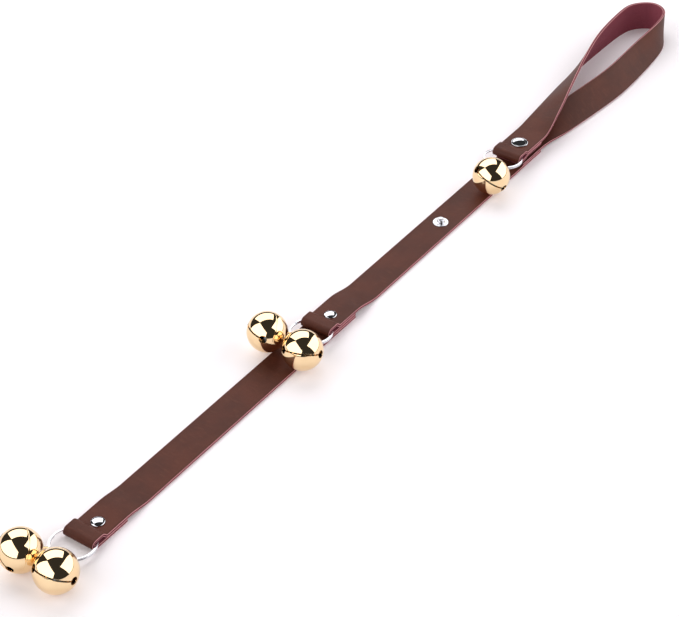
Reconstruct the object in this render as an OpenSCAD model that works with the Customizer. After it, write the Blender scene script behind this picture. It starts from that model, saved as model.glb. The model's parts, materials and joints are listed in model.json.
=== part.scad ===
// Leather strap of jingle bells for a door handle, lying flat, handle loop standing on edge.
// +X runs up the strap towards the handle loop, +Z is up, and the strap lies on z = 0.

/* [Straps] */
// Width of every strap
strap_w = 23.5; // [18:0.5:28.5]
// Thickness of the leather
leather_t = 2; // [1.6:0.1:2.4]
// Lower rivet to middle rivet
lower_pitch = 243; // [190:1:300]
// Middle rivet to spare stud
spare_pitch = 140; // [110:1:180]
// Spare stud to snap
snap_pitch = 111.5; // [90:0.5:140]
// Rivet or snap centre to the cut end of each strap
end_tail = 13.5; // [11:0.5:18]
// Middle rivet to the place where the lower strap flexes
lower_flex = 78; // [70:1:100]
// Middle rivet to the place where the upper strap flexes
upper_flex = 65; // [55:1:90]

/* [Folds] */
// Air between a ring and the front of its fold
nose_room = 0.45; // [0.4:0.05:2]
// Height of the pocket that holds a ring
fold_gap = 3.2; // [3:0.1:4]
// Air between neighbouring layers of leather
layer_gap = 0.1; // [0.05:0.01:0.2]

/* [Handle loop] */
// Length of the loop beyond the tab
loop_len = 217; // [170:1:265]
// Reach of the loop to the near side
loop_near = 22; // [18:0.5:27]
// Reach of the loop to the far side
loop_far = 26; // [21:0.5:32]

/* [Rivets and snaps] */
// Diameter of a rivet cap
cap_d = 9; // [7.5:0.1:10.8]
// Height of a rivet cap
cap_h = 1.8; // [1.4:0.1:2.2]
// Diameter of a rivet or snap post
post_d = 3; // [2.5:0.1:3.6]
// Thickness of the flush disc under each post
base_t = 0.8; // [0.6:0.1:1]
// Diameter of the snap cap
snap_cap_d = 12.8; // [11:0.1:15.4]
// Height of the snap cap
snap_cap_h = 1.6; // [1.3:0.1:2]
// Diameter of the snap socket
socket_d = 10.4; // [9:0.1:12.4]
// Height of the snap socket
socket_h = 2.6; // [2.2:0.1:3.2]
// Diameter of a stud's flange
flange_d = 11.7; // [10:0.1:14]
// Thickness of a stud's flange
flange_t = 0.8; // [0.6:0.1:1]
// Diameter of a stud's head
head_d = 5.4; // [4.5:0.1:6.4]
// Radial room for the stud's head in the socket
head_room = 0.35; // [0.3:0.05:0.5]
// Radial running clearance round a post
post_fit = 0.05; // [0.02:0.01:0.1]

/* [Rings] */
// How much wider than the strap a split ring is
ring_extra = 6.5; // [6:0.1:9]
// Width of a ring's coil
coil_w = 1.6; // [1.3:0.1:1.8]
// Height of one coil of a ring
coil_h = 1; // [0.8:0.05:1.05]
// Edge of a rivet or snap cap to the nearest point of a ring
ring_tuck = 3.2; // [3.1:0.1:3.9]

/* [Bells] */
// Outside diameter of a bell
bell_d = 28; // [24:0.5:28.4]
// Thickness of a bell's wall
wall_t = 0.8; // [0.5:0.1:1]
// Width of the sound slit
slit_w = 1.1; // [0.8:0.1:1.6]
// Diameter of the round hole at each end of the slit
slit_hole_d = 5.4; // [4:0.1:6.5]
// Angle of each hole from the bell's nose
slit_angle = 63; // [50:1:68]
// Diameter of a clapper ball
clapper_d = 8; // [7:0.1:9.6]
// Diameter of a hanger's wire
hanger_wire = 1.4; // [1.2:0.1:1.6]
// Inside radius of a hanger's eye
eye_r = 2.5; // [2.4:0.1:3]
// Bell surface to the middle of the ring's coil
hanger_reach = 6.5; // [6:0.1:8]
// Air under a bell that lies on a strap
rest_gap = 0.3; // [0.2:0.05:0.5]

/* [Hidden] */

leather_colour = "#5c3a33";
nickel_colour = "#c9c9cc";
gold_colour = "#e0c68a";
steel_colour = "#8f9196";

$fn = 64;
bell_fn = 96;
joint_overlap = 0.3;
bend_steps = 8;
span_steps = 5;

layer_pitch = leather_t + layer_gap;
half_w = strap_w / 2;
bell_r = bell_d / 2;
ring_d = strap_w + ring_extra;
ring_mid_r = ring_d / 2 - coil_w / 2;
fold_r = (fold_gap + leather_t) / 2;
snap_gap = flange_t + layer_gap + socket_h;
hanger_len = bell_r + hanger_reach;
head_h = socket_h - 0.5;
waist = 0.25;

// heights of the undersides of the leather layers
second_z = layer_pitch;
third_z = 2 * layer_pitch;
tab_lower_z = second_z + leather_t + snap_gap;
tab_upper_z = tab_lower_z + layer_pitch;
stud_z = second_z + leather_t;

// underside of each fold's lower layer, and how far its front droops, from the lower fold to the top one
fold_z = [0, second_z, tab_lower_z];
fold_droop = [0, 0, 1.2];
// every ring rises a little from its fold towards its bells
ring_rise = 4;
// the fold's layers part beside the cap and are fully open this much further on
cap_room = 0.1;
part_len = 4.4;

// [ring, side of hanger on ring, bearing from -X towards +Y, height of what it lies on, turn of slit]
bell_places = [
  [2, -1, -24, leather_t + rest_gap, -30],
  [1, -4, -33, leather_t + rest_gap, -6],
  [1, 4, 43, leather_t + rest_gap, 5],
  [0, -4, -32, 0, -16],
  [0, 4, 36, 0, -33]
];

// places along the strap, before the origin is moved to the middle
raw_x = [0, lower_pitch, lower_pitch + spare_pitch + snap_pitch];
raw_spare_x = lower_pitch + spare_pitch;
loop_start = end_tail + 2.5;
raw_low_end = min([for (b = [3, 4]) raw_bell_x(b)]) - bell_r;
raw_high_end = raw_x[2] + loop_start + loop_len + leather_t;
origin_x = (raw_low_end + raw_high_end) / 2;
fastener_x = [for (x = raw_x) x - origin_x];
lower_x = fastener_x[0];
mid_x = fastener_x[1];
snap_x = fastener_x[2];
spare_x = raw_spare_x - origin_x;
lower_flex_x = mid_x - lower_flex;
upper_flex_x = mid_x + upper_flex;
loop_x = snap_x + loop_start;

function ease(u) = (1 - cos(180 * u)) / 2;

// distances from each fold's rivet or snap: where its layers part, the nearest point of its ring, its front
function part_from(r) = (r == 2 ? snap_cap_d : cap_d) / 2 + cap_room;
function ring_near(r) = part_from(r) - cap_room + ring_tuck;
function fold_front(r) = ring_near(r) + ring_d / 2
  - sqrt(pow(ring_d / 2 - coil_w, 2) - pow(half_w, 2)) + nose_room + leather_t;
// the ring's coil where it lies deepest in its fold, and its height there
function seat_x(r) = ring_near(r) + coil_w / 2;
function seat_z(r) = fold_z[r] + leather_t + layer_gap + coil_h
  - fold_droop[r] * ease((ring_near(r) - part_from(r)) / part_len);
// the coil at a bell's hanger, seen from the ring's own rivet or snap
function hook_run(b) = ring_mid_r + sqrt(pow(ring_mid_r, 2) - pow(bell_places[b][1], 2));
function hook_x(b) = -seat_x(bell_places[b][0]) - hook_run(b) * cos(ring_rise);
function hook_z(b) = seat_z(bell_places[b][0]) + hook_run(b) * sin(ring_rise);
function bell_z(b) = bell_r + bell_places[b][3];
function bell_tilt(b) = asin((bell_z(b) - hook_z(b)) / hanger_len);
function raw_bell_x(b) = raw_x[bell_places[b][0]] + hook_x(b)
  - hanger_len * cos(bell_tilt(b)) * cos(bell_places[b][2]);
function bell_y(b) = bell_places[b][1] + hanger_len * cos(bell_tilt(b)) * sin(bell_places[b][2]);

// a smooth step in a strap's side view, from one point to the next
function step_path(a, b) = [for (i = [0 : bend_steps])
  [a[0] + (b[0] - a[0]) * i / bend_steps, a[1] + (b[1] - a[1]) * ease(i / bend_steps)]];
// a half circle round the front of a fold, from its underside to its top
function nose_path(x, z) = [for (i = [1 : 2 * bend_steps - 1])
  [x - fold_r * sin(90 * i / bend_steps), z + fold_r - fold_r * cos(90 * i / bend_steps)]];

// the direction across a path at one of its points
function path_way(p, i) = let (a = p[max(i - 1, 0)], b = p[min(i + 1, len(p) - 1)]) (b - a) / norm(b - a);
function beside(p, i, d) = p[i] + d * [-path_way(p, i)[1], path_way(p, i)[0]];

module strap_run(path) {
  half_t = leather_t / 2;
  outline = concat(
    [for (i = [0 : len(path) - 1]) beside(path, i, half_t)],
    [for (i = [len(path) - 1 : -1 : 0]) beside(path, i, -half_t)]);
  rotate([90, 0, 0])
    linear_extrude(strap_w, center = true)
      polygon(outline);
}

// side view of a folded end: lower layer, nose, upper layer
function fold_path(r) =
  let (
    x = fastener_x[r],
    low = fold_z[r] + leather_t / 2,
    nose_x = x - fold_front(r) + leather_t / 2 + fold_r,
    nose_z = low - fold_droop[r],
    flat_x = x - part_from(r),
    open_x = flat_x - part_len)
  concat(
    [[x + end_tail, low]],
    step_path([flat_x, low], [open_x, nose_z]),
    [[nose_x, nose_z]],
    nose_path(nose_x, nose_z),
    [[nose_x, nose_z + 2 * fold_r]],
    step_path([open_x, nose_z + 2 * fold_r], [flat_x, low + layer_pitch]));

module hole(x, r) {
  translate([x, 0, -1])
    cylinder(h = 40, r = r);
}

module flush_seat(x) {
  translate([x, 0, -1])
    cylinder(h = 1 + base_t + post_fit, d = cap_d + 2 * post_fit);
}

module fastener_hole(x) {
  hole(x, post_d / 2 + post_fit);
}

// strap that carries both studs, with its cut end under the handle strap
module upper_strap() {
  color(leather_colour)
    difference() {
      translate([upper_flex_x, -half_w, 0])
        cube([snap_x + end_tail - upper_flex_x, strap_w, leather_t]);
      for (x = [snap_x, spare_x]) {
        fastener_hole(x);
        flush_seat(x);
      }
    }
}

// folded end of the upper strap, round the middle ring
module upper_strap_bottom() {
  mid = leather_t / 2;
  slope_end = mid_x + end_tail + 28;
  color(leather_colour)
    difference() {
      strap_run(concat(
        fold_path(1),
        step_path([mid_x + end_tail + 1, third_z + mid], [slope_end, mid]),
        [[upper_flex_x, mid]]));
      fastener_hole(mid_x);
    }
}

// flat upper end of the lower strap, held under the fold by the middle rivet
module lower_strap_top() {
  color(leather_colour)
    difference() {
      translate([lower_flex_x, -half_w, 0])
        cube([mid_x + end_tail - lower_flex_x, strap_w, leather_t]);
      fastener_hole(mid_x);
      flush_seat(mid_x);
    }
}

// long lower strap with its folded end round the lower ring
module lower_strap() {
  mid = leather_t / 2;
  slope_end = lower_x + end_tail + 22;
  color(leather_colour)
    difference() {
      strap_run(concat(
        fold_path(0),
        step_path([lower_x + end_tail + 1, second_z + mid], [slope_end, mid]),
        [[lower_flex_x, mid]]));
      fastener_hole(lower_x);
      flush_seat(lower_x);
    }
}

// folded tab that carries the snap cap and the top ring
module snap_tab() {
  mid = leather_t / 2;
  color(leather_colour)
    difference() {
      strap_run(concat(
        fold_path(2),
        [[loop_x, tab_upper_z + mid]]));
      fastener_hole(snap_x);
    }
}

// Stations of the loop's standing edge, from the flat end at the stud round to the tab:
// [share of the loop's length, side, height of the edge, lean from flat]
loop_stations = [
  [0, -half_w, second_z, 0],
  [0.16, -0.7 * loop_near, 0, 27],
  [0.32, -0.87 * loop_near, 0, 43],
  [0.5, -loop_near, 0, 50],
  [0.7, -0.93 * loop_near, 0, 55],
  [0.87, -0.72 * loop_near, 0, 72],
  [0.965, -0.25 * loop_near, 0, 90],
  [0.995, 0.3 * loop_far, 0, 95],
  [0.95, 0.77 * loop_far, 0, 95],
  [0.87, 0.95 * loop_far, 0, 90],
  [0.69, loop_far, 0, 80],
  [0.52, 0.98 * loop_far, 0, 63],
  [0.39, 0.86 * loop_far, 2.8, 50],
  [0.25, 0.66 * loop_far, 7.2, 37],
  [0.11, 0.5 * loop_far, tab_upper_z + 0.2, 19],
  [0, half_w, tab_upper_z, 0]
];

function mirror_end(a, b) = [2 * a[0] - b[0], b[1], b[2], b[3]];
function spline(a, b, c, d, u) =
  (2 * b + (c - a) * u + (2 * a - 5 * b + 4 * c - d) * u * u + (3 * b - a - 3 * c + d) * u * u * u) / 2;
function loop_rows() =
  let (s = loop_stations, n = len(s))
  concat(
    [for (i = [0 : n - 2], k = [0 : span_steps - 1])
      spline(
        i == 0 ? mirror_end(s[0], s[1]) : s[i - 1], s[i], s[i + 1],
        i == n - 2 ? mirror_end(s[n - 1], s[n - 2]) : s[i + 2], k / span_steps)],
    [s[n - 1]]);

// one cross-section of the loop: its four corners, standing edge first
function loop_section(rows, i) =
  let (
    n = len(rows),
    a = rows[max(i - 1, 0)],
    b = rows[min(i + 1, n - 1)],
    ends = i == 0 || i == n - 1,
    dx = ends ? (i == 0 ? 1 : -1) : (b[0] - a[0]) * loop_len,
    dy = ends ? 0 : b[1] - a[1],
    run = norm([dx, dy]),
    inward = [-dy / run, dx / run, 0],
    up = [0, 0, 1],
    lean = rows[i][3],
    across = cos(lean) * inward + sin(lean) * up,
    face = -sin(lean) * inward + cos(lean) * up,
    half_t = leather_t / 2,
    edge = [loop_x + rows[i][0] * loop_len, rows[i][1], max(rows[i][2], 0) + half_t * abs(cos(lean))])
  [edge + half_t * face, edge - half_t * face,
   edge + strap_w * across - half_t * face, edge + strap_w * across + half_t * face];

module loop_ribbon() {
  rows = loop_rows();
  n = len(rows);
  points = [for (i = [0 : n - 1]) for (p = loop_section(rows, i)) p];
  sides = [for (i = [0 : n - 2], k = [0 : 3])
    let (a = 4 * i + k, b = 4 * i + (k + 1) % 4)
    [a, b, b + 4, a + 4]];
  halves = [for (f = sides, h = [0, 1]) h == 0 ? [f[2], f[1], f[0]] : [f[3], f[2], f[0]]];
  last = 4 * (n - 1);
  caps = [[1, 2, 3], [0, 1, 3], [last + 2, last + 1, last], [last + 3, last + 2, last]];
  polyhedron(points = points, faces = concat(halves, caps), convexity = 10);
}

// handle strap: flat end on the stud, then the loop that goes over a door handle
module handle_loop() {
  color(leather_colour)
    difference() {
      union() {
        translate([snap_x - end_tail, -half_w, second_z])
          cube([loop_x + joint_overlap - snap_x + end_tail, strap_w, leather_t]);
        loop_ribbon();
      }
      fastener_hole(snap_x);
    }
}

// domed cap with its rim turned under
module dome_cap(d, h) {
  rim = 0.5;
  rise = h - rim;
  dome_r = (pow(d / 2, 2) + pow(rise, 2)) / (2 * rise);
  rotate_extrude() {
    intersection() {
      translate([0, h - dome_r])
        circle(r = dome_r, $fn = 360);
      translate([0, rim - joint_overlap])
        square([d / 2, h]);
    }
    square([d / 2, rim]);
  }
}

// rivet cap on the top layer, with the well that takes the post
module rivet_cap(x, z) {
  color(nickel_colour)
    difference() {
      translate([x, 0, z])
        dome_cap(cap_d, cap_h);
      translate([x, 0, z - 1])
        cylinder(h = 1 + cap_h / 2, d = post_d);
    }
}

// post on a disc that lies flush in the leather's underside
module post(x, top) {
  color(nickel_colour)
    translate([x, 0, 0]) {
      cylinder(h = base_t, d = cap_d);
      cylinder(h = top, d = post_d);
    }
}

module mid_rivet_cap() {
  rivet_cap(mid_x, third_z + leather_t);
}

module mid_rivet_post() {
  post(mid_x, third_z + leather_t + cap_h / 2);
}

module lower_rivet_cap() {
  rivet_cap(lower_x, second_z + leather_t);
}

module lower_rivet_post() {
  post(lower_x, second_z + leather_t + cap_h / 2);
}

// stud: wide flange, waisted head, well for the post
module stud(x, z) {
  head_r = head_d / 2;
  color(nickel_colour)
    translate([x, 0, z])
      rotate_extrude()
        polygon([
          [post_d / 2, 0], [flange_d / 2 - 0.2, 0], [flange_d / 2, 0.3], [flange_d / 2 - 0.3, flange_t],
          [head_r - waist, flange_t], [head_r - waist, flange_t + 0.3], [head_r, flange_t + 0.5],
          [head_r, flange_t + head_h - 0.6], [head_r - 0.6, flange_t + head_h],
          [post_d / 2, flange_t + head_h * 0.7]]);
}

// post with a flared, hollow end that holds a stud down
module stud_post(x, z) {
  flare = z + flange_t + head_h * 0.7;
  color(nickel_colour)
    difference() {
      translate([x, 0, 0]) {
        cylinder(h = base_t, d = cap_d);
        cylinder(h = flare, d = post_d);
      }
      translate([x, 0, flare - 1.4])
        cylinder(h = 2, r = post_d / 2 - 0.45);
    }
}

module snap_stud() {
  stud(snap_x, stud_z);
}

module snap_stud_post() {
  stud_post(snap_x, stud_z);
}

module spare_stud() {
  stud(spare_x, leather_t);
}

module spare_stud_post() {
  stud_post(spare_x, leather_t);
}

// cap on the tab, with the post that is spread inside the socket
module snap_cap() {
  top = tab_upper_z + leather_t;
  color(nickel_colour)
    translate([snap_x, 0, 0]) {
      translate([0, 0, top])
        dome_cap(snap_cap_d, snap_cap_h);
      translate([0, 0, tab_lower_z - 0.3])
        cylinder(h = top - tab_lower_z + 0.4, d = post_d);
    }
}

// socket under the tab, open below for the stud's head
module snap_socket() {
  roof = 0.3;
  color(nickel_colour)
    translate([snap_x, 0, tab_lower_z - socket_h])
      difference() {
        union() {
          cylinder(h = socket_h, d = socket_d - 1);
          translate([0, 0, socket_h - 0.9])
            cylinder(h = 0.9, d = socket_d);
        }
        translate([0, 0, -1])
          cylinder(h = 1 + socket_h - roof, r = head_d / 2 + head_room);
        cylinder(h = socket_h + 1, d = post_d);
      }
}

// split ring: two flat coils, one on the other, with a groove between them
module split_ring(r) {
  half_c = coil_w / 2;
  groove = 0.15;
  color(nickel_colour)
    translate([fastener_x[r] - seat_x(r), 0, seat_z(r)])
      rotate([0, ring_rise, 0])
        translate([-ring_mid_r, 0, 0])
          rotate_extrude($fn = 96)
            translate([ring_mid_r, 0])
              polygon([
                [-half_c, groove], [-half_c, coil_h - groove], [-half_c + groove, coil_h],
                [half_c - groove, coil_h], [half_c, coil_h - groove], [half_c, groove],
                [half_c - groove, 0], [half_c, -groove],
                [half_c, groove - coil_h], [half_c - groove, -coil_h],
                [groove - half_c, -coil_h], [-half_c, groove - coil_h],
                [-half_c, -groove], [groove - half_c, 0]]);
}

module top_ring() {
  split_ring(2);
}

module mid_ring() {
  split_ring(1);
}

module lower_ring() {
  split_ring(0);
}

// carries a bell from its own frame, hung from the origin with its nose up, to its place
module at_bell(b) {
  p = bell_places[b];
  translate([fastener_x[p[0]] + hook_x(b), p[1], hook_z(b)])
    rotate([0, 90 - bell_tilt(b), 180 - p[2]])
      children();
}

// half of the hollow ball: side 1 is the nose half and side -1 the hanger half
module half_ball(side) {
  inner_r = bell_r - wall_t;
  rotate_extrude($fn = bell_fn)
    difference() {
      intersection() {
        circle(r = bell_r, $fn = bell_fn);
        translate([0, side > 0 ? 0 : -bell_d])
          square([bell_d, bell_d]);
      }
      circle(r = inner_r, $fn = bell_fn);
    }
}

// nose half, with the sound slit and its two round ends
module bell_front(b) {
  color(gold_colour)
    at_bell(b)
      translate([0, 0, hanger_len])
        rotate([0, 0, bell_places[b][4]])
          difference() {
            half_ball(1);
            intersection() {
              translate([-slit_w / 2, -bell_d, 0])
                cube([slit_w, 2 * bell_d, bell_d]);
              rotate([0, 90, 0])
                linear_extrude(2 * slit_w, center = true)
                  polygon([
                    [0, 0],
                    [-bell_d * cos(slit_angle), bell_d * sin(slit_angle)],
                    [-bell_d * 1.5, 0],
                    [-bell_d * cos(slit_angle), -bell_d * sin(slit_angle)]]);
            }
            for (side = [-1, 1])
              rotate([side * slit_angle, 0, 0])
                cylinder(h = bell_d, d = slit_hole_d);
          }
}

// plain half that carries the hanger
module bell_back(b) {
  color(gold_colour)
    at_bell(b)
      translate([0, 0, hanger_len])
        half_ball(-1);
}

// wire staple that loops round the ring, its two legs seated in the plain half
module bell_hanger(b) {
  p = bell_places[b];
  leg_x = eye_r + hanger_wire / 2;
  turn = atan2(sin(p[2]) * sin(bell_tilt(b)), cos(p[2]));
  eye_z = eye_r - coil_w;
  color(gold_colour)
    at_bell(b)
      rotate([0, 0, turn])
        difference() {
          union() {
            translate([0, 0, eye_z])
              rotate([90, 0, 0])
                rotate_extrude(angle = 180, start = 180, $fn = 48)
                  translate([leg_x, 0])
                    circle(d = hanger_wire, $fn = 24);
            for (side = [-1, 1])
              translate([side * leg_x, 0, eye_z])
                cylinder(h = hanger_reach - eye_z + 1, d = hanger_wire, $fn = 24);
          }
          translate([0, 0, hanger_len])
            sphere(r = bell_r, $fn = bell_fn);
        }
}

// loose ball inside the bell, lying at the lowest place
module bell_clapper(b) {
  p = bell_places[b];
  clear = 0.25;
  color(steel_colour)
    translate([raw_bell_x(b) - origin_x, bell_y(b), bell_places[b][3] + wall_t + clear + clapper_d / 2])
      sphere(d = clapper_d);
}

upper_strap();
upper_strap_bottom();
lower_strap_top();
lower_strap();
handle_loop();
snap_tab();
mid_rivet_cap();
mid_rivet_post();
lower_rivet_cap();
lower_rivet_post();
snap_cap();
snap_socket();
snap_stud();
snap_stud_post();
spare_stud();
spare_stud_post();
top_ring();
mid_ring();
lower_ring();

bell_names = ["top_bell", "mid_near_bell", "mid_far_bell", "lower_near_bell", "lower_far_bell"];
for (b = [0 : 4]) {
  bell_front(b);
  bell_back(b);
  bell_hanger(b);
  bell_clapper(b);
}
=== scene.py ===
# A leather strap of jingle bells for a door handle, lying on a pale floor.
import json
import math

import bpy
from mathutils import Matrix, Vector
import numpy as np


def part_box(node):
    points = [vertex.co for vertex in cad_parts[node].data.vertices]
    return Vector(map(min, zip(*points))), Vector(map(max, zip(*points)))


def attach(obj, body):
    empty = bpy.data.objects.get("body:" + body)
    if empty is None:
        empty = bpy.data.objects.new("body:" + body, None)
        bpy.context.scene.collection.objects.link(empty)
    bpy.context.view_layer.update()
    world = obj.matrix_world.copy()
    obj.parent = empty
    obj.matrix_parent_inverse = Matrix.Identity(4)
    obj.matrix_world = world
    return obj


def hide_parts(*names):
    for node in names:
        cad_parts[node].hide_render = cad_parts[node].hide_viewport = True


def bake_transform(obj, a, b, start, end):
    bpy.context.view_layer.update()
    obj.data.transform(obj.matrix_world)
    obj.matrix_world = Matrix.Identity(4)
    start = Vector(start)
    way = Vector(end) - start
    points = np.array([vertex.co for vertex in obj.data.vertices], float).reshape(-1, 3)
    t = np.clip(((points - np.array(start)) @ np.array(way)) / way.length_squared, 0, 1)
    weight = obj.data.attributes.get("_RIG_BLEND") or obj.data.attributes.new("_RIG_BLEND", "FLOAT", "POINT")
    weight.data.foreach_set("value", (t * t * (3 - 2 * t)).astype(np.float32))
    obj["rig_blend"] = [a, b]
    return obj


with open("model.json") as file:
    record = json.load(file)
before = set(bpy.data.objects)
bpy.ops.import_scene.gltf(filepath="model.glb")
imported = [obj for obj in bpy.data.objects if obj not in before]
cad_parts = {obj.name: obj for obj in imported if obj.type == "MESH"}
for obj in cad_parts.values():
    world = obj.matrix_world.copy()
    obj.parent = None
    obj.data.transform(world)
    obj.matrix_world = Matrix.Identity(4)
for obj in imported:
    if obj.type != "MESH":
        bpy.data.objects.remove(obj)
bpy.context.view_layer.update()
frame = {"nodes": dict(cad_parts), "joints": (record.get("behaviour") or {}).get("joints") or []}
nodes = frame["nodes"]
joints = {joint["name"]: joint for joint in frame["joints"]}
mm = 0.001
mergeWithin = 0.002 * mm
print("frame loaded:", len(nodes), "nodes")


def middle(node):
    low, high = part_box(node)
    return (low + high) / 2


def radiusOf(node):
    low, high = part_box(node)
    return (high.x - low.x) / 2


def jointX(name):
    return joints[name]["pos_m"][0]


def activate(piece):
    if bpy.context.object and bpy.context.object.mode != "OBJECT":
        bpy.ops.object.mode_set(mode="OBJECT")
    bpy.ops.object.select_all(action="DESELECT")
    piece.select_set(True)
    bpy.context.view_layer.objects.active = piece


def edit(piece, select=True):
    activate(piece)
    bpy.ops.object.mode_set(mode="EDIT")
    bpy.ops.mesh.select_all(action="SELECT" if select else "DESELECT")


def leaveEdit():
    bpy.ops.object.mode_set(mode="OBJECT")


def addPrimitive(operator, **settings):
    if bpy.context.object and bpy.context.object.mode != "OBJECT":
        bpy.ops.object.mode_set(mode="OBJECT")
    bpy.ops.object.select_all(action="DESELECT")
    operator(**settings)
    return bpy.context.object


def applyModifier(piece, kind, **settings):
    activate(piece)
    modifier = piece.modifiers.new(kind.lower(), kind)
    for key, value in settings.items():
        setattr(modifier, key, value)
    bpy.ops.object.modifier_apply(modifier=modifier.name)


def cutWith(piece, cutter):
    applyModifier(piece, "BOOLEAN", operation="DIFFERENCE", object=cutter, solver="EXACT")
    bpy.data.objects.remove(cutter)


def selectVertices(piece, chosen):
    # picks vertices by their place, and leaves the piece in edit mode with them selected
    edit(piece, select=False)
    leaveEdit()
    for vertex in piece.data.vertices:
        vertex.select = chosen(vertex.co)
    bpy.ops.object.mode_set(mode="EDIT")
    bpy.ops.mesh.select_mode(type="VERT")


def extrudeBy(offset):
    bpy.ops.mesh.extrude_region_move(TRANSFORM_OT_translate={"value": offset})


def turnAbout(axis, angle, centre):
    # with no window the operator turns the other way, so it is given the angle reversed
    bpy.ops.transform.rotate(value=-angle, orient_axis=axis, orient_type="GLOBAL",
                             center_override=centre)


def placeMesh(piece, matrix):
    # a finished piece's place goes into its mesh, and its object stays at the origin
    activate(piece)
    piece.matrix_world = matrix @ piece.matrix_world
    bpy.context.view_layer.update()
    bpy.ops.object.transform_apply(location=True, rotation=True, scale=True)


def outwards(piece):
    edit(piece)
    bpy.ops.mesh.remove_doubles(threshold=mergeWithin)
    bpy.ops.mesh.normals_make_consistent(inside=False)
    leaveEdit()


def smooth(piece, angle):
    activate(piece)
    bpy.ops.object.shade_smooth_by_angle(angle=math.radians(angle))


def finishExtrusion(piece, angle):
    # faces outwards, then shaded smooth across edges flatter than the angle
    bpy.ops.mesh.select_all(action="SELECT")
    bpy.ops.mesh.normals_make_consistent(inside=False)
    leaveEdit()
    smooth(piece, angle)


def copyOf(piece, name):
    made = piece.copy()
    made.data = piece.data.copy()
    made.name = name
    made.data.name = name
    bpy.context.scene.collection.objects.link(made)
    return made


def wear(piece, material):
    piece.data.materials.clear()
    piece.data.materials.append(material)


def connect(tree, socket, value):
    if isinstance(value, Flow):
        tree.links.new(value.socket, socket)
    else:
        socket.default_value = value


def addNode(tree, kind, settings, out, sockets):
    # settings first, then a value or a link for each socket
    made = tree.nodes.new(kind)
    for key, value in settings.items():
        setattr(made, key, value)
    for key, value in sockets.items():
        connect(tree, made.inputs[key], value)
    return Flow(tree, made.outputs[out])


class Flow:  # one output socket, with the sums that can be done on it
    def __init__(self, tree, socket):
        self.tree, self.socket = tree, socket

    def maths(self, operation, *values):
        return addNode(self.tree, "ShaderNodeMath", {"operation": operation}, 0,
                       dict(enumerate(values)))

    def root(self): return self.maths("SQRT", self)
    def __add__(self, other): return self.maths("ADD", self, other)
    def __radd__(self, other): return self.maths("ADD", other, self)
    def __sub__(self, other): return self.maths("SUBTRACT", self, other)
    def __rsub__(self, other): return self.maths("SUBTRACT", other, self)
    def __mul__(self, other): return self.maths("MULTIPLY", self, other)
    def __rmul__(self, other): return self.maths("MULTIPLY", other, self)
    def __abs__(self): return self.maths("ABSOLUTE", self)

    def step(self, low, high):  # 0 below low, 1 above high, smooth between
        return addNode(self.tree, "ShaderNodeMapRange", {"interpolation_type": "SMOOTHSTEP"},
                       "Result", {"Value": self, "From Min": low, "From Max": high})


class Maker:  # one material and its nodes
    def __init__(self, name, viewColour):
        self.material = bpy.data.materials.new(name)
        self.material.use_nodes = True
        self.material.diffuse_color = viewColour
        self.tree = self.material.node_tree
        self.shader = self.tree.nodes["Principled BSDF"]

    def node(self, kind, settings=None, out=0, **values):
        sockets = {key.replace("_", " "): value for key, value in values.items()}
        return addNode(self.tree, kind, settings or {}, out, sockets)

    def place(self):
        return self.node("ShaderNodeTexCoord", out="Object")

    def joined(self, x, y, z):
        return self.node("ShaderNodeCombineXYZ", X=x, Y=y, Z=z)

    def flatPlace(self, where):  # x and y apart
        return (self.node("ShaderNodeSeparateXYZ", out=axis, Vector=where) for axis in (0, 1))

    def attribute(self, name):
        return self.node("ShaderNodeAttribute", {"attribute_name": name}, out="Fac")

    def noise(self, where, scale, detail=3.0, roughness=0.55):
        return self.node("ShaderNodeTexNoise", Vector=where, Scale=scale, Detail=detail,
                         Roughness=roughness)

    def mix(self, factor, first, second):  # on colour sockets, which a mix node numbers 6 and 7
        return addNode(self.tree, "ShaderNodeMix", {"data_type": "RGBA"}, 2,
                       {0: factor, 6: first, 7: second})

    def bump(self, height, distance, strength):
        return self.node("ShaderNodeBump", Height=height, Distance=distance, Strength=strength)

    def surface(self, **values):
        for key, value in values.items():
            connect(self.tree, self.shader.inputs[key.replace("_", " ")], value)


def colour(red, green, blue):
    # a paint chip's own numbers, 0 to 255, to the renderer's linear ones
    def linear(part):
        share = part / 255
        return share / 12.92 if share <= 0.04045 else ((share + 0.055) / 1.055) ** 2.4
    return (linear(red), linear(green), linear(blue), 1.0)


camera = {"place": (-0.9302, -0.5961, 0.8172), "heading": 55.03, "down": 38.0, "lens": 101.8,
          "sensor": 36.0, "nearest": 0.05, "furthest": 60.0}


def addCamera():
    data = bpy.data.cameras.new("camera")
    data.lens, data.sensor_width = camera["lens"], camera["sensor"]
    data.clip_start, data.clip_end = camera["nearest"], camera["furthest"]
    made = bpy.data.objects.new("camera", data)
    bpy.context.scene.collection.objects.link(made)
    made.location = camera["place"]
    made.rotation_euler = (math.radians(90 - camera["down"]), 0, -math.radians(camera["heading"]))
    bpy.context.scene.camera = made


addCamera()
print("camera placed")


leather = {
    "thickness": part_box("upper_strap")[1].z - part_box("upper_strap")[0].z,
    "halfWidth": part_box("upper_strap")[1].y,
    "pitch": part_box("mid_rivet_cap")[0].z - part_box("lower_rivet_cap")[0].z,  # of the layers
    "arris": 0.34 * mm, "arrisSteps": 3, "columns": 14, "flatStep": 3.5 * mm, "bendSteps": 14,
    "capRoom": 0.1 * mm, "partLength": 4.4 * mm, "flexHalf": 9 * mm, "smoothUnder": 50,
    "lip": 1 * mm, "seatRoom": 0.12 * mm, "seatDepth": 0.42, "seatSides": 64}
halfT = leather["thickness"] / 2

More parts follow.
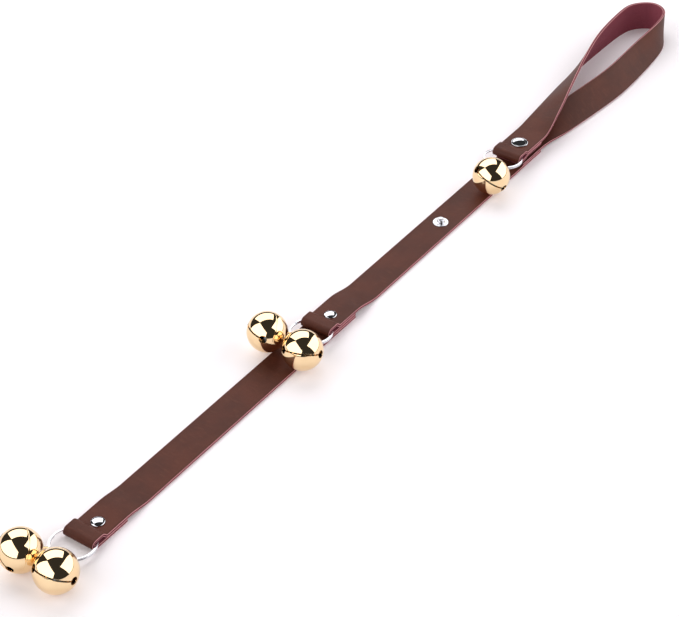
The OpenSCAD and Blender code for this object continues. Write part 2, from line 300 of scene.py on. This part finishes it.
# colours, then how fine each pattern is, where each shows and how rough and deep it is
leatherLook = {
    "grain": colour(92, 45, 31), "grainDark": colour(74, 35, 24), "grainLight": colour(104, 57, 41),
    "flesh": colour(150, 76, 88), "fleshDark": colour(104, 48, 60),
    # the pale edge colour is a painted highlight: the light caught along the cut edge's two arrises
    "edge": colour(134, 56, 70), "edgeLight": colour(232, 166, 168), "edgeDark": colour(62, 18, 30),
    "grainCell": 0.9 * mm, "pore": 0.35 * mm, "clouds": 28.0, "creases": 220.0,
    "creaseStretch": (2.2, 0.6), "fibres": 2600.0, "fibreStretch": (0.35, 2.4), "fuzz": 1800.0,
    "fuzzDetail": 5.0, "fuzzRoughness": 0.7, "fineDetail": 4.0,
    "edgeBand": (0.34 * mm, 0.16 * mm), "fleshBand": (0.45 * mm, 0.25 * mm),
    "rimBand": (2.6 * mm, 0.3 * mm), "cloudBand": (0.32, 0.72), "creaseBand": (0.52, 0.75),
    "cellBand": (0.0, 0.12), "fuzzBand": (0.3, 0.7), "fibreBand": (0.35, 0.7),
    "creaseTint": 0.35, "cellTint": 0.35, "rimTint": 0.45,
    # the painted highlight lines along the cut edge: where they sit in its depth, how wide they are and how
    # strongly they show
    "edgeLine": 0.74, "edgeLineBand": (0.06 * mm, 0.34 * mm), "edgeLineTint": 0.85,
    "rough": 0.46, "cloudRough": 0.10, "poreRough": 0.06, "fleshRough": 0.36, "edgeRough": 0.22,
    "cellReliefBand": (0.0, 0.16), "cellRelief": 0.6, "poreRelief": 0.25, "creaseRelief": 0.35,
    "fuzzRelief": 1.6, "fibreRelief": 1.4, "reliefDepth": 0.09 * mm, "reliefStrength": 0.55,
    "pressed": ("lower_rivet_cap", "mid_rivet_cap", "snap_cap", "spare_stud"),
    "pressBand": (0.2 * mm, 1.6 * mm), "pressRelief": 3.0,
    "specular": 0.2, "coat": 0.015, "coatRough": 0.28}


def leatherFinish():
    look = leatherLook
    made = Maker("brown leather", look["grain"])
    along, across, depth = (made.attribute(name) for name in ("along", "across", "depth"))
    where = made.joined(along, across, depth)
    cells = made.node("ShaderNodeTexVoronoi", {"feature": "DISTANCE_TO_EDGE"}, out="Distance",
                      Vector=where, Scale=1 / look["grainCell"])
    pores = made.noise(where, 1 / look["pore"], look["fineDetail"])
    clouds = made.noise(where, look["clouds"], look["fineDetail"])
    lengthwise, sideways = look["creaseStretch"]
    creases = made.noise(made.joined(along * lengthwise, across * sideways, depth), look["creases"])
    lengthwise, through = look["fibreStretch"]
    fibres = made.noise(made.joined(along * lengthwise, across, depth * through), look["fibres"],
                        look["fineDetail"])
    fuzz = made.noise(where, look["fuzz"], look["fuzzDetail"], look["fuzzRoughness"])

    def inFrom(whole, band):  # a band's two limits, measured in from an outer face
        return whole - band[0], whole - band[1]

    isEdge = abs(across).step(*inFrom(leather["halfWidth"], look["edgeBand"]))
    isFlesh = (depth * -1.0).step(*inFrom(halfT, look["fleshBand"]))
    rimDye = abs(across).step(*inFrom(leather["halfWidth"], look["rimBand"]))

    grain = made.mix(clouds.step(*look["cloudBand"]), look["grainDark"], look["grain"])
    grain = made.mix(creases.step(*look["creaseBand"]) * look["creaseTint"], grain,
                     look["grainLight"])
    dye = (1 - cells.step(*look["cellBand"])) * look["cellTint"] + rimDye * look["rimTint"]
    grain = made.mix(dye, grain, look["grainDark"])
    flesh = made.mix(fuzz.step(*look["fuzzBand"]), look["fleshDark"], look["flesh"])
    # painted highlight: two pale lines along the cut edge near its arrises, where the light catches
    highlightLines = abs(abs(depth) - halfT * look["edgeLine"]).step(*look["edgeLineBand"])
    edge = made.mix(fibres.step(*look["fibreBand"]), look["edgeDark"], look["edge"])
    edge = made.mix((1 - highlightLines) * look["edgeLineTint"], edge, look["edgeLight"])
    made.surface(Base_Color=made.mix(isEdge, made.mix(isFlesh, grain, flesh), edge))

    rough = look["rough"] + clouds * look["cloudRough"] + pores * look["poreRough"]
    made.surface(Roughness=rough + isFlesh * look["fleshRough"] + isEdge * look["edgeRough"])

    relief = cells.step(*look["cellReliefBand"]) * (1 - isFlesh) * (1 - isEdge) * look["cellRelief"]
    relief = relief + pores * look["poreRelief"] + creases * look["creaseRelief"]
    relief = relief + fuzz * isFlesh * look["fuzzRelief"] + fibres * isEdge * look["fibreRelief"]
    x, y = made.flatPlace(made.place())
    for node in look["pressed"]:  # the leather sinks a little all round a pressed fastener
        fromMiddle = x - middle(node).x
        away = (fromMiddle * fromMiddle + y * y).root()
        inside, outside = look["pressBand"]
        sunk = 1 - away.step(radiusOf(node) - inside, radiusOf(node) + outside)
        relief = relief - sunk * look["pressRelief"]
    made.surface(Normal=made.bump(relief, look["reliefDepth"], look["reliefStrength"]),
                 Specular_IOR_Level=look["specular"], Coat_Weight=look["coat"],
                 Coat_Roughness=look["coatRough"])
    return made.material


metalLook = {"hairlines": 900.0, "stretch": (1.0, 6.0, 1.0), "smudges": 70.0, "smudgeDetail": 4.0,
             "tintBand": (0.35, 0.8), "tint": 0.5, "dullBand": (0.45, 0.85),
             "scratchBand": (0.62, 0.8), "smudgeRelief": 0.4, "wornStrength": 0.2}
metals = {
    "polished nickel": {"tone": colour(214, 214, 219), "shade": colour(184, 185, 192),
                        "rough": 0.06, "scratch": 0.05, "worn": 0.004 * mm},
    "pale gold plate": {"tone": colour(244, 216, 172), "shade": colour(238, 204, 154),
                        "rough": 0.018, "scratch": 0.015, "worn": 0.001 * mm},
    "polished nickel tipped": {"tone": colour(226, 226, 230), "shade": colour(196, 197, 203),
                               "rough": 0.06, "scratch": 0.05, "worn": 0.004 * mm,
                               "tip": (0.34, 0.24)},
    "plain steel": {"tone": colour(160, 162, 166), "shade": colour(110, 112, 118),
                    "rough": 0.3, "scratch": 0.15, "worn": 0.02 * mm}}


def metalFinish(name):
    metal = metals[name]
    made = Maker(name, metal["tone"])
    where = made.place()
    stretched = made.node("ShaderNodeMapping", Vector=where, Scale=metalLook["stretch"])
    hairline = made.noise(stretched, metalLook["hairlines"])
    smudge = made.noise(where, metalLook["smudges"], metalLook["smudgeDetail"])
    tint = smudge.step(*metalLook["tintBand"]) * metalLook["tint"]
    made.surface(Base_Color=made.mix(tint, metal["tone"], metal["shade"]), Metallic=1.0)
    dull = smudge.step(*metalLook["dullBand"]) * metal["scratch"]
    scratches = hairline.step(*metalLook["scratchBand"]) * metal["scratch"]
    made.surface(Roughness=metal["rough"] + dull + scratches)
    normal = made.bump(hairline + smudge * metalLook["smudgeRelief"], metal["worn"],
                       metalLook["wornStrength"])
    if "tip" in metal:  # the whole cap seems a little askew, but only in what it mirrors
        x, y = made.flatPlace(where)
        slope = x * metal["tip"][0] + y * metal["tip"][1]
        normal = made.node("ShaderNodeBump", Height=slope, Distance=1.0, Strength=1.0,
                           Normal=normal)
    made.surface(Normal=normal)
    return made.material


brownLeather = leatherFinish()
nickel, gold, tippedNickel, steel = (metalFinish(name) for name in metals)
print("finishes mixed")


def ease(share):
    return (1 - math.cos(math.pi * share)) / 2


def stepPath(start, end):
    # a soft step from one height to another, without its first point
    (startX, startZ), (endX, endZ) = start, end
    shares = [i / leather["bendSteps"] for i in range(1, leather["bendSteps"] + 1)]
    return [(startX + (endX - startX) * share, startZ + (endZ - startZ) * ease(share))
            for share in shares]


def flatPath(start, end):
    # even steps along a straight stretch, without its first point
    (startX, startZ), (endX, endZ) = start, end
    steps = max(1, math.ceil(math.hypot(endX - startX, endZ - startZ) / leather["flatStep"]))
    return [(startX + (endX - startX) * i / steps, startZ + (endZ - startZ) * i / steps)
            for i in range(1, steps + 1)]


def foldPath(cap, tail, lowZ, front, gap, droop):
    # side view of a folded end, from its cut end round the nose to the top layer beside the cap
    fastenerX = middle(cap).x
    noseR = gap / 2 + halfT
    low = lowZ + halfT
    noseX, noseZ = front + halfT + noseR, low - droop
    flatX = fastenerX - radiusOf(cap) - leather["capRoom"]
    openX = flatX - leather["partLength"]
    path = [(fastenerX + tail, low)]
    path += flatPath(path[-1], (flatX, low))
    path += stepPath((flatX, low), (openX, noseZ))
    path += flatPath((openX, noseZ), (noseX, noseZ))
    turns = leather["bendSteps"] + 2
    for i in range(1, turns):
        angle = math.pi * i / turns
        path.append((noseX - noseR * math.sin(angle), noseZ + noseR - noseR * math.cos(angle)))
    path += [(noseX, noseZ + 2 * noseR)]
    path += flatPath(path[-1], (openX, noseZ + 2 * noseR))
    path += stepPath((openX, noseZ + 2 * noseR), (flatX, low + leather["pitch"]))
    return path


def flatStations(path, side):
    # stations of a strap that stays in its own upright plane: centre, way along, way across
    stations = []
    for i, (x, z) in enumerate(path):
        before, after = path[max(i - 1, 0)], path[min(i + 1, len(path) - 1)]
        along = Vector((after[0] - before[0], 0, after[1] - before[1])).normalized()
        stations.append((Vector((x, 0, z)), along, Vector((0, side, 0))))
    return stations


def roundedCard(width, height, columns, arris, arrisSteps):
    # a flat rectangle with rounded corners, ready to be extruded
    card = addPrimitive(bpy.ops.mesh.primitive_grid_add, x_subdivisions=columns, y_subdivisions=1,
                        size=1)
    edit(card)
    bpy.ops.transform.resize(value=(width, height, 1))
    selectVertices(card, lambda co: abs(co.x) > width * 0.49)
    bpy.ops.mesh.bevel(offset=arris, segments=arrisSteps, affect="VERTICES")
    leaveEdit()
    return card


def extrudeStrap(name, stations, startAt):
    # extruded from station to station, with how far along, across and deep each point is
    piece = roundedCard(2 * leather["halfWidth"], leather["thickness"], leather["columns"],
                        leather["arris"], leather["arrisSteps"])
    piece.name = piece.data.name = name
    for key in ("along", "across", "depth"):
        piece.data.attributes.new(key, "FLOAT", "POINT")
    attributes = piece.data.attributes
    for vertex in piece.data.vertices:
        attributes["across"].data[vertex.index].value = vertex.co.x
        attributes["depth"].data[vertex.index].value = vertex.co.y
        attributes["along"].data[vertex.index].value = startAt
    turned = [Matrix((across, along.cross(across), along)).transposed()
              for centre, along, across in stations]
    placeMesh(piece, Matrix.Translation(stations[0][0]) @ turned[0].to_4x4())
    attributes = piece.data.attributes
    attributes.active = attributes["along"]
    edit(piece)
    distance = startAt
    for i in range(1, len(stations)):
        centre, previous = stations[i][0], stations[i - 1][0]
        distance += (centre - previous).length
        extrudeBy(centre - previous)
        turn = (turned[i] @ turned[i - 1].inverted()).to_euler("XYZ")
        for axis, angle in zip("XYZ", turn):
            if abs(angle) > 1e-7:  # less is no turn
                turnAbout(axis, angle, centre)
        bpy.ops.mesh.attribute_set(value_float=distance)
    finishExtrusion(piece, leather["smoothUnder"])
    wear(piece, brownLeather)
    return piece


def seatHole(piece, node):
    # the flush disc under a post sits in a shallow round seat
    depth = leather["thickness"] * leather["seatDepth"]
    cutter = addPrimitive(bpy.ops.mesh.primitive_cylinder_add, vertices=leather["seatSides"],
                          radius=radiusOf(node) + leather["seatRoom"], depth=2 * depth,
                          location=(middle(node).x, 0, 0))
    cutWith(piece, cutter)


# the two long straps: the folded node, the flat node, the cap that holds the fold, the layer the
# fold lies on, how soon the top layer is down on the floor again, and where its grain starts
straps = {
    "lowerStrap": {"folded": "lower_strap", "flat": "lower_strap_top", "cap": "lower_rivet_cap",
                   "replaces": ("lower_strap", "lower_strap_top"), "flex": "lower_strap_flex",
                   "layer": 0, "down": 22 * mm, "grainStart": 0.0,
                   "seats": ("lower_rivet_post", "mid_rivet_post")},
    "upperStrap": {"folded": "upper_strap_bottom", "flat": "upper_strap", "cap": "mid_rivet_cap",
                   "replaces": ("upper_strap", "upper_strap_bottom"), "flex": "upper_strap_flex",
                   "layer": 1, "down": 28 * mm, "grainStart": 1.3,
                   "seats": ("snap_stud_post", "spare_stud_post")}}


def addStraps():
    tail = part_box("lower_strap_top")[1].x - middle("mid_rivet_cap").x
    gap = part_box("lower_strap")[1].z - 2 * leather["thickness"]
    for name, strap in straps.items():
        cutX, lowZ = middle(strap["cap"]).x + tail, strap["layer"] * leather["pitch"]
        path = foldPath(strap["cap"], tail, lowZ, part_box(strap["folded"])[0].x, gap, 0)
        path += flatPath(path[-1], (cutX + leather["lip"], lowZ + leather["pitch"] + halfT))
        path += stepPath(path[-1], (cutX + strap["down"], halfT))
        path += flatPath(path[-1], (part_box(strap["flat"])[1].x, halfT))
        piece = extrudeStrap(name, flatStations(path, 1), strap["grainStart"])
        for post in strap["seats"]:
            seatHole(piece, post)
        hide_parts(*strap["replaces"])
        flexX, reach = jointX(strap["flex"]), leather["flexHalf"]
        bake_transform(piece, strap["flat"], strap["folded"],
                 start=(flexX + reach, 0, 0), end=(flexX - reach, 0, 0))


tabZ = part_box("snap_socket")[1].z
loop = {"length": 217 * mm, "near": 22 * mm, "far": 26 * mm, "spanSteps": 9,
        "seam": 2 * mm, "straight": 1 * mm, "grainStart": 2.0,
        "blendFrom": 5.8 * mm, "blendOver": 2.4 * mm, "blendWay": (-0.6, 0, 0.8)}
# stations of the loop's standing edge, from the stud round to the tab: share of length, side,
# height, lean
loop["stations"] = [
    (0, -leather["halfWidth"], leather["pitch"], 0),
    (0.16, -0.7 * loop["near"], 0, 27),
    (0.32, -0.87 * loop["near"], 0, 43),
    (0.5, -loop["near"], 0, 50),
    (0.7, -0.93 * loop["near"], 0, 55),
    (0.87, -0.72 * loop["near"], 0, 72),
    (0.965, -0.25 * loop["near"], 0, 90),
    (0.995, 0.3 * loop["far"], 0, 95),
    (0.95, 0.77 * loop["far"], 0, 95),
    (0.87, 0.95 * loop["far"], 0, 90),
    (0.69, loop["far"], 0, 80),
    (0.52, 0.98 * loop["far"], 0, 63),
    (0.39, 0.86 * loop["far"], 2.8 * mm, 50),
    (0.25, 0.66 * loop["far"], 7.2 * mm, 37),
    (0.11, 0.5 * loop["far"], tabZ + leather["pitch"] + 0.2 * mm, 19),
    (0, leather["halfWidth"], tabZ + leather["pitch"], 0)]


def spline(a, b, c, d, u):
    return [(2 * q + (r - p) * u + (2 * p - 5 * q + 4 * r - s) * u ** 2
             + (3 * q - p - 3 * r + s) * u ** 3) / 2 for p, q, r, s in zip(a, b, c, d)]


def mirrored(stop, neighbour):
    # the neighbour carried to the stop's other side, so that the curve starts and ends straight
    return (2 * stop[0] - neighbour[0], *neighbour[1:])


def loopStations(startX):
    stops = loop["stations"]
    stops = [mirrored(stops[0], stops[1]), *stops, mirrored(stops[-1], stops[-2])]
    rows = []
    for i in range(1, len(stops) - 2):
        rows += [spline(*stops[i - 1:i + 3], k / loop["spanSteps"])
                 for k in range(loop["spanSteps"])]
    rows.append(list(stops[-2]))
    stations = []
    for i, (share, side, height, lean) in enumerate(rows):
        before, after = rows[max(i - 1, 0)], rows[min(i + 1, len(rows) - 1)]
        along = Vector(((after[0] - before[0]) * loop["length"], after[1] - before[1], 0))
        if i in (0, len(rows) - 1):
            along = Vector((1 if i == 0 else -1, 0, 0))
        along.normalize()
        inward = Vector((-along.y, along.x, 0))
        lean = math.radians(lean)
        across = math.cos(lean) * inward + math.sin(lean) * Vector((0, 0, 1))
        stand = max(height, 0) + halfT * abs(math.cos(lean))
        edge = Vector((startX + share * loop["length"], side, stand))
        stations.append((edge + across * leather["halfWidth"], along, across))
    return stations


def addHandleStrap():
    loopX, startX = jointX("snap_tab_lift"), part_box("handle_loop")[0].x
    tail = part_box("upper_strap")[1].x - middle("snap_cap").x
    low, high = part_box("snap_tab")
    gap = high.z - low.z - 2 * leather["thickness"]
    seamX, z = loopX - loop["seam"], leather["pitch"] + halfT

    path = [(startX, z), *flatPath((startX, z), (seamX, z))]
    end = extrudeStrap("handleStrapEnd", flatStations(path, 1), loop["grainStart"])
    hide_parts("handle_loop")
    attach(end, "handle_loop")

    stations = flatStations([(seamX, z), (loopX - loop["straight"], z)], 1)
    stations += loopStations(loopX)
    fold = foldPath("snap_cap", tail, tabZ, low.x, gap, tabZ - low.z)[::-1]
    topStart = (loopX, fold[0][1])
    stations += flatStations([topStart, *flatPath(topStart, fold[0]), *fold[1:]], -1)[1:]
    strap = extrudeStrap("handleStrap", stations, loop["grainStart"] + seamX - startX)
    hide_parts("snap_tab")
    start = Vector((loopX + loop["blendFrom"], 0, tabZ + leather["pitch"] + halfT))
    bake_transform(strap, "handle_loop", "snap_tab", start=start,
             end=start + Vector(loop["blendWay"]) * loop["blendOver"])


addStraps()
addHandleStrap()
print("leather cut and folded")


# angles in degrees; the joggle is where one turn of the wire steps over the other, and a ring's
# phase is how far it is turned about its own axis
splitRing = {"coilWidth": 1.6 * mm, "coilHeight": 0.86 * mm, "columns": 2, "arris": 0.26 * mm,
             "arrisSteps": 4, "pitch": 1.0 * mm, "rise": 4.0, "from": 34, "to": 686,
             "joggle": (330, 390), "step": 3.0, "smoothUnder": 40,
             "phases": {"lower_ring": 62, "mid_ring": 118, "top_ring": 80}}


def ringHeight(angle):
    low, high = splitRing["joggle"]
    share = min(1, max(0, (angle - low) / (high - low)))
    return splitRing["pitch"] * (ease(share) - 0.5)


def ringTemplate():
    # flat wire wound nearly two turns
    low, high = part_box("lower_ring")
    radius = (high.y - low.y) / 2 - splitRing["coilWidth"] / 2
    piece = roundedCard(splitRing["coilWidth"], splitRing["coilHeight"], splitRing["columns"],
                        splitRing["arris"], splitRing["arrisSteps"])
    start, step = splitRing["from"], splitRing["step"]
    stand = (Matrix.Translation((0, 0, ringHeight(start)))
             @ Matrix.Rotation(math.radians(start), 4, "Z"))
    upright = Matrix.Translation((radius, 0, 0)) @ Matrix.Rotation(math.pi / 2, 4, "X")
    placeMesh(piece, stand @ upright)
    edit(piece)
    for i in range(int((splitRing["to"] - start) / step)):
        angle = start + i * step
        extrudeBy((0, 0, ringHeight(angle + step) - ringHeight(angle)))
        turnAbout("Z", math.radians(step), (0, 0, 0))
    finishExtrusion(piece, splitRing["smoothUnder"])
    wear(piece, nickel)
    return piece


def addRings():
    template = ringTemplate()
    rise = Matrix.Rotation(math.radians(splitRing["rise"]), 4, "Y")
    for node, phase in splitRing["phases"].items():
        ring = copyOf(template, node.replace("_ring", "SplitRing"))
        turn = rise @ Matrix.Rotation(math.radians(phase), 4, "Z")
        placeMesh(ring, Matrix.Translation(middle(node)) @ turn)
        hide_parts(node)
        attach(ring, node)
    bpy.data.objects.remove(template)


addRings()
print("rings wound")


# slitTurn is how far each bell's slit is turned about the bell's own axis, in degrees
bell = {"wall": 0.8 * mm, "slit": 1.1 * mm, "hole": 5.4 * mm, "holeAngle": 63, "segments": 144,
        "holeSides": 72, "rim": 0.12 * mm, "rimSteps": 2, "rimOver": 50, "smoothUnder": 42,
        "slitTurn": {"top_bell": -30, "mid_near_bell": -6, "mid_far_bell": 5,
                     "lower_near_bell": -16, "lower_far_bell": -33}}


def halfShell(radius, side):
    piece = addPrimitive(bpy.ops.mesh.primitive_uv_sphere_add, segments=bell["segments"],
                         ring_count=bell["segments"] // 2, radius=radius)
    edit(piece)
    bpy.ops.mesh.bisect(plane_co=(0, 0, 0), plane_no=(0, 0, side), clear_inner=True)
    leaveEdit()
    applyModifier(piece, "SOLIDIFY", thickness=bell["wall"], offset=-1)
    return piece


def slottedShell(radius):
    piece = halfShell(radius, 1)
    angle = math.radians(bell["holeAngle"])
    reach, low = radius * math.sin(angle), radius * math.cos(angle)
    slit = addPrimitive(bpy.ops.mesh.primitive_cube_add, size=1, location=(0, 0, low + radius / 2))
    slit.scale = (bell["slit"], 2 * reach, radius)
    cutWith(piece, slit)
    for side in (-1, 1):
        hole = addPrimitive(bpy.ops.mesh.primitive_cylinder_add, vertices=bell["holeSides"],
                            radius=bell["hole"] / 2, depth=radius, location=(0, 0, radius))
        bpy.context.view_layer.update()
        hole.matrix_world = Matrix.Rotation(side * angle, 4, "X") @ hole.matrix_world
        cutWith(piece, hole)
    return piece


def finishShell(piece):
    outwards(piece)
    applyModifier(piece, "BEVEL", width=bell["rim"], segments=bell["rimSteps"],
                  limit_method="ANGLE", angle_limit=math.radians(bell["rimOver"]),
                  harden_normals=False)
    smooth(piece, bell["smoothUnder"])
    wear(piece, gold)


def bellPlace(name):
    # the bell's centre and its own axes, nose up, from where it hangs and where its shells are
    low = Vector(map(min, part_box(name + "_front")[0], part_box(name + "_back")[0]))
    high = Vector(map(max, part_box(name + "_front")[1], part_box(name + "_back")[1]))
    centre, radius = (low + high) / 2, (high.x - low.x) / 2
    way = (centre - Vector(joints[name + "_swing"]["pos_m"])).normalized()
    tilt, bearing = math.asin(way.z), math.atan2(way.y, -way.x)
    turn = (Matrix.Rotation(math.pi - bearing, 4, "Z")
            @ Matrix.Rotation(math.pi / 2 - tilt, 4, "Y"))
    return Matrix.Translation(centre) @ turn, radius


def addBells():
    radius = bellPlace("lower_near_bell")[1]
    halves = {"front": slottedShell(radius), "back": halfShell(radius, -1)}
    for template in halves.values():
        finishShell(template)
    for name, slitTurn in bell["slitTurn"].items():
        place = bellPlace(name)[0]
        for half, template in halves.items():
            shell = copyOf(template, name.replace("_", ".") + "." + half)
            placeMesh(shell, place @ Matrix.Rotation(math.radians(slitTurn), 4, "Z"))
            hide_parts(f"{name}_{half}")
            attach(shell, name)
    for template in halves.values():
        bpy.data.objects.remove(template)


addBells()
print("bells pressed and pierced")


# outlines from the rim inwards, in millimetres: radius, height above the leather
fastener = {
    "rivetCap": [(3.6, 0.16), (4.1, 0.03), (4.36, 0.05), (4.49, 0.2), (4.49, 0.4), (4.38, 0.56),
                 (4.15, 0.7), (3.8, 0.9), (3.3, 1.14), (2.7, 1.37), (2.0, 1.57), (1.3, 1.7),
                 (0.6, 1.77), (0.05, 1.79)],
    "snapCap": [(5.2, 0.14), (5.9, 0.03), (6.22, 0.05), (6.38, 0.22), (6.38, 0.42), (6.26, 0.6),
                (6.0, 0.72), (5.7, 0.74), (5.45, 0.68), (5.2, 0.7), (4.8, 0.86), (4.0, 1.12),
                (3.0, 1.36), (2.0, 1.5), (1.0, 1.57), (0.05, 1.59)],
    "stud": [(1.55, 0.02), (5.6, 0.02), (5.82, 0.14), (5.82, 0.34), (5.7, 0.52), (5.4, 0.62),
             (4.9, 0.56), (4.3, 0.5), (3.3, 0.56), (2.62, 0.72), (2.46, 0.9), (2.46, 1.1),
             (2.62, 1.26), (2.69, 1.5), (2.69, 2.0), (2.62, 2.3), (2.42, 2.58), (2.15, 2.76),
             (1.95, 2.8), (1.78, 2.72), (1.62, 2.4)],
    "snapCapHeight": 1.6, "sides": 64, "smoothUnder": 40,
    "holders": {"lower_rivet": "lower_strap", "mid_rivet": "upper_strap_bottom"}}


def lathe(name, outline, material, at, closed=True):
    # turns an outline, ring by ring, from its first point to its last
    radius, height = outline[0]
    piece = addPrimitive(bpy.ops.mesh.primitive_circle_add, vertices=fastener["sides"],
                         radius=radius * mm, location=(0, 0, height * mm),
                         fill_type="NGON" if closed else "NOTHING")
    piece.name = piece.data.name = name
    edit(piece)
    for nextRadius, nextHeight in outline[1:]:
        extrudeBy((0, 0, (nextHeight - height) * mm))
        share = nextRadius / radius
        bpy.ops.transform.resize(value=(share, share, 1), center_override=(0, 0, nextHeight * mm))
        radius, height = nextRadius, nextHeight
    leaveEdit()
    placeMesh(piece, Matrix.Translation(at))
    outwards(piece)
    smooth(piece, fastener["smoothUnder"])
    wear(piece, material)
    return piece


def footOf(node):
    centre = middle(node)
    return (centre.x, centre.y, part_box(node)[0].z)


# in millimetres; heights are above the star's base, and the tips are a petal's, then a notch's
star = {"points": 8, "radius": 0.62, "base": 1.5, "rises": (0.25, 0.43, 0.5), "growth": 1.32,
        "tips": ((1.72, 2.42), (1.15, 2.3)), "wall": 0.12}


def starFlare(at):
    # the post's end, split into petals and rolled out inside the stud
    sides = 2 * star["points"]
    radius, height = star["radius"], 0
    flare = addPrimitive(bpy.ops.mesh.primitive_circle_add, vertices=sides, radius=radius * mm,
                         location=(0, 0, star["base"] * mm), fill_type="NGON")
    edit(flare)
    for rise in star["rises"]:
        extrudeBy((0, 0, rise * mm))
        bpy.ops.transform.resize(value=(star["growth"], star["growth"], 1),
                                 center_override=(0, 0, 0))
        radius, height = radius * star["growth"], height + rise
    for odd, (tipRadius, tipHeight) in enumerate(star["tips"]):

        def chosen(co):  # every second point of the outermost ring
            turn = round(math.atan2(co.y, co.x) / (2 * math.pi) * sides)
            return co.xy.length > radius * mm * 0.95 and turn % 2 == odd

        selectVertices(flare, chosen)
        share = tipRadius / radius
        bpy.ops.transform.resize(value=(share, share, 1), center_override=(0, 0, 0))
        bpy.ops.transform.translate(value=(0, 0, (tipHeight - height) * mm))
    leaveEdit()
    placeMesh(flare, Matrix.Translation(at))
    applyModifier(flare, "SOLIDIFY", thickness=star["wall"] * mm, offset=0)
    wear(flare, nickel)
    return flare


def addFasteners():
    for rivet, body in fastener["holders"].items():
        cap = lathe(rivet.split("_")[0] + "RivetCap", fastener["rivetCap"], nickel,
                    footOf(rivet + "_cap"))
        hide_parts(rivet + "_cap")
        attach(cap, body)
    x, y = footOf("snap_cap")[:2]
    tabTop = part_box("snap_cap")[1].z - fastener["snapCapHeight"] * mm
    cap = lathe("snapCap", fastener["snapCap"], tippedNickel, (x, y, tabTop))
    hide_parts("snap_cap")
    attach(cap, "snap_tab")
    for stud in ("snap_stud", "spare_stud"):
        piece = lathe(stud.split("_")[0] + "Stud", fastener["stud"], nickel, footOf(stud),
                      closed=False)
        flare = starFlare(footOf(stud))
        activate(piece)
        flare.select_set(True)
        bpy.ops.object.join()
        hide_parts(stud)
        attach(piece, "upper_strap")


addFasteners()
print("rivet caps and studs turned")


def dressNodes():
    # the frame's own nodes that stay
    for name, node in nodes.items():
        if not node.hide_render:
            plate = gold if "_bell_" in name else nickel
            wear(node, steel if name.endswith("clapper") else plate)


dressNodes()
print("fasteners plated")


# each panel's corners: which way from the middle, how high in degrees, and how far in metres
studio = {
    "world": 0.035, "panelStrength": 2.2,
    "panels": {
        "panelBack": ((21, 15, 4.1), (79, 15, 4.1), (113, 55, 3.8), (-13, 55, 3.8)),
        "panelLeft": ((112, 2, 4.0), (205, 4, 4.0), (213, 32, 4.0), (120, 55, 4.0)),
        "panelRight": ((8, 2, 4.0), (-79, 2, 4.0), (-102, 54, 4.0), (-15, 37, 4.0))}}
ground = {"size": 60.0, "viewColour": colour(240, 238, 240), "mottle": 3.0, "mottleDetail": 2.0,
          "dark": colour(247, 241, 245), "light": colour(250, 245, 248), "rough": 0.75,
          "glow": (1.0, 0.98, 0.99, 1.0), "glowStrength": 0.05}


def addFloor():
    floor = addPrimitive(bpy.ops.mesh.primitive_plane_add, size=ground["size"])
    floor.name = "floor"
    made = Maker("pale floor", ground["viewColour"])
    mottle = made.noise(made.place(), ground["mottle"], ground["mottleDetail"])
    made.surface(Base_Color=made.mix(mottle, ground["dark"], ground["light"]),
                 Roughness=ground["rough"], Emission_Color=ground["glow"],
                 Emission_Strength=ground["glowStrength"])
    wear(floor, made.material)


def direction(azimuth, elevation, distance):
    a, e = math.radians(azimuth), math.radians(elevation)
    return distance * Vector((math.cos(a) * math.cos(e), math.sin(a) * math.cos(e), math.sin(e)))


def addPanel(name, corners):
    # a soft light, unseen by the camera itself, with each corner moved to its place
    panel = addPrimitive(bpy.ops.mesh.primitive_plane_add, size=1)
    panel.name = name
    half, near = 0.5, 0.1
    starts = ((-half, -half, 0), (half, -half, 0), (half, half, 0), (-half, half, 0))
    for start, corner in zip(map(Vector, starts), corners):
        selectVertices(panel, lambda co: (co - start).length < near)
        bpy.ops.transform.translate(value=direction(*corner) - start)
    leaveEdit()
    made = Maker(name, (1, 1, 1, 1))
    made.tree.nodes.remove(made.shader)
    glow = made.node("ShaderNodeEmission", Strength=studio["panelStrength"])
    connect(made.tree, made.tree.nodes["Material Output"].inputs["Surface"], glow)
    wear(panel, made.material)
    panel.visible_camera = False


def addWorld():
    world = bpy.data.worlds.new("studio")
    bpy.context.scene.world = world
    world.use_nodes = True
    background = world.node_tree.nodes["Background"]
    background.inputs["Color"].default_value = (1, 1, 1, 1)
    background.inputs["Strength"].default_value = studio["world"]


addFloor()
addWorld()
for name, corners in studio["panels"].items():
    addPanel(name, corners)
bpy.context.scene.view_settings.view_transform = "Standard"
print("studio lit")
